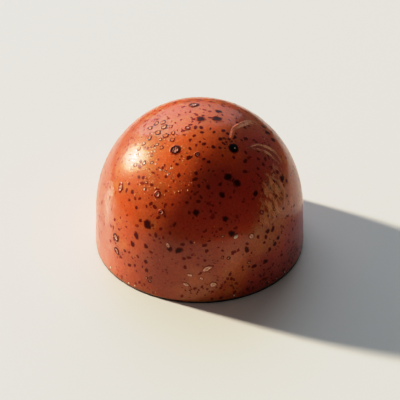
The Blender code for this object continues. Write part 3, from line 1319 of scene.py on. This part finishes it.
def makeSunGlow():
    # the broad glow round the sun that only reflections show, a slanted oval with a torn edge
    way = toward(sunGlow["azimuth"], sunGlow["elevation"])
    distance = sunGlow["distance"]
    centre = way * distance + Vector((0, 0, sunGlow["above"]))
    side = way.cross(Vector((0, 0, 1))).normalized()
    up = side.cross(way).normalized()
    slant = math.radians(sunGlow["slant"])
    longWay = up * math.sin(slant) - side * math.cos(slant)
    shortWay = up * math.cos(slant) + side * math.sin(slant)
    longWay *= distance * math.tan(math.radians(sunGlow["long"]))
    shortWay *= distance * math.tan(math.radians(sunGlow["short"]))
    turns = [math.tau * i / sunGlow["sides"] for i in range(sunGlow["sides"])]
    points = [centre + sunGlow["margin"] * (longWay * math.cos(turn) + shortWay * math.sin(turn))
              for turn in turns]
    material, tree, strengthInput = glow("sunGlow", 1.0, sunGlow["colour"])
    place = objectPlace(tree)
    off = vectors(tree, "SUBTRACT", place, tuple(centre))
    parts = [vectors(tree, "DOT_PRODUCT", off, tuple(axis / axis.length_squared))
             for axis in (longWay, shortWay)]
    share = sums(tree, "SQRT", sums(tree, "ADD", *(times(tree, part, part) for part in parts)))
    share = wander(tree, noise(tree, place, 45.0, 4.0), sunGlow["torn"], share)
    strength = ramp(tree, share, 0.08, 0.42, sunGlow["core"], sunGlow["plate"])
    fall = ramp(tree, share, 0.84, 0.90, 1.0, sunGlow["rim"] / sunGlow["plate"])
    edge = ramp(tree, share, 0.94, 1.10, 1.0, 0.0)
    feed(tree, strengthInput, times(tree, times(tree, strength, fall), edge))
    lightSheet("sunGlow", points, material, mirrored=True)


def makeWindow():
    # a tall pale window behind the praline, brighter towards the sun; one sheet is what the gloss
    # mirrors, the other is the soft light it throws
    pane, tree, strengthInput = glow("paleWindow", 1.0, window["colour"])
    parts = apart(tree, objectPlace(tree))
    across = ramp(tree, parts["X"], *window["turnOver"], window["left"], window["right"], smooth=False)
    feed(tree, strengthInput, times(tree, across, ramp(tree, parts["Z"], *window["fadeHeights"], 0.5)))
    lightSheet("paleWindow", [(x, window["behind"], z) for x, z in window["corners"]], pane, mirrored=True)
    softLight = glow("windowFill", window["fill"], window["colour"])[0]
    lightSheet("windowFill", [(x, window["fillBehind"], z) for x, z in window["corners"]], softLight,
               mirrored=False)


def makeCeiling():
    corners = [(x, y, light["ceilingHeight"]) for x, y in ((-1, -1), (-1, 1), (1, 1), (1, -1))]
    softLight = glow("ceiling", light["ceiling"], light["ceilingColour"])[0]
    lightSheet("ceiling", corners, softLight, mirrored=False)


def makeWorld():
    # a cool pale room, dark where the camera stands and below the table
    world = bpy.data.worlds.new("paleRoom")
    scene.world = world
    world.use_nodes = True
    tree = world.node_tree
    tree.nodes.clear()
    way = put(tree, "ShaderNodeTexCoord").outputs["Generated"]
    dark = vectors(tree, "DOT_PRODUCT", way, tuple(toward(*light["roomDark"])))
    strength = ramp(tree, ramp(tree, dark, -0.15, 0.85), 0.0, 1.0, light["room"], 0.0)
    aboveTable = ramp(tree, apart(tree, way)["Z"], -0.02, 0.02)
    shine = put(tree, "ShaderNodeBackground", {"Color": light["roomColour"],
                                               "Strength": times(tree, strength, aboveTable)})
    put(tree, "ShaderNodeOutputWorld", {"Surface": shine.outputs[0]})


table = {
    "colour": (0.90, 0.86, 0.79, 1),
    "roughness": 0.42,
    "mirrorLevel": 0.2,
    "nearReach": 0.085,     # the praline's gloss mirrors the table as far as this, in metres
    "farReach": 1.2,
    "sides": 180,
}


def makeTable():
    material, _, inputs = plainMaterial("paleTable")
    inputs["Base Color"].default_value = table["colour"]
    inputs["Roughness"].default_value = table["roughness"]
    inputs["Specular IOR Level"].default_value = table["mirrorLevel"]
    sides = table["sides"]
    turns = [math.tau * i / sides for i in range(sides)]
    inner, outer = ([(reach * math.cos(turn), reach * math.sin(turn), 0) for turn in turns]
                    for reach in (table["nearReach"], table["farReach"]))
    near = meshObject("tableNear", inner, faces=[tuple(range(sides))])
    faces = [(i, i + sides, (i + 1) % sides + sides, (i + 1) % sides) for i in range(sides)]
    beyond = meshObject("tableBeyond", inner + outer, faces=faces)
    beyond.visible_glossy = False
    for part in (near, beyond):
        part.data.materials.append(material)


camera = {
    "aim": (0.06 * mm, 0.16 * mm, 5.93 * mm),
    "distance": 168 * mm,
    "elevation": 35.8,
    "lens": 113.9,
    "sensor": 36.0,
    "nearest": 0.005,
    "farthest": 20.0,
    "whitest": 2.2,         # scene brightness that comes out white
    # a soft toe and shoulder: scene brightness, and how bright it comes out
    "response": [(0.01, 0.0065), (0.05, 0.044), (0.25, 0.26), (0.55, 0.56), (0.8, 0.74)],
}


def makeCamera():
    data = bpy.data.cameras.new("camera")
    data.lens = camera["lens"]
    data.sensor_width = camera["sensor"]
    data.clip_start = camera["nearest"]
    data.clip_end = camera["farthest"]
    eye = bpy.data.objects.new("camera", data)
    scene.collection.objects.link(eye)
    eye.location = Vector(camera["aim"]) + toward(0, camera["elevation"]) * camera["distance"]
    eye.rotation_euler = (math.radians(90 - camera["elevation"]), 0, 0)
    scene.camera = eye


def makeDevelop():
    view = scene.view_settings
    view.view_transform = "Standard"
    view.look = "None"
    view.use_curve_mapping = True
    curves = view.curve_mapping
    curves.black_level = (0.0, 0.0, 0.0)
    curves.white_level = (camera["whitest"],) * 3
    curve = curves.curves[3]
    for x, y in camera["response"]:
        curve.points.new(x / camera["whitest"], y)
    curve.points[len(curve.points) - 1].location = (1.0, 1.0)
    curves.update()


makeSun()
makeSunGlow()
makeWindow()
makeCeiling()
makeWorld()
makeTable()
makeCamera()
makeDevelop()
print("table, light and camera placed")
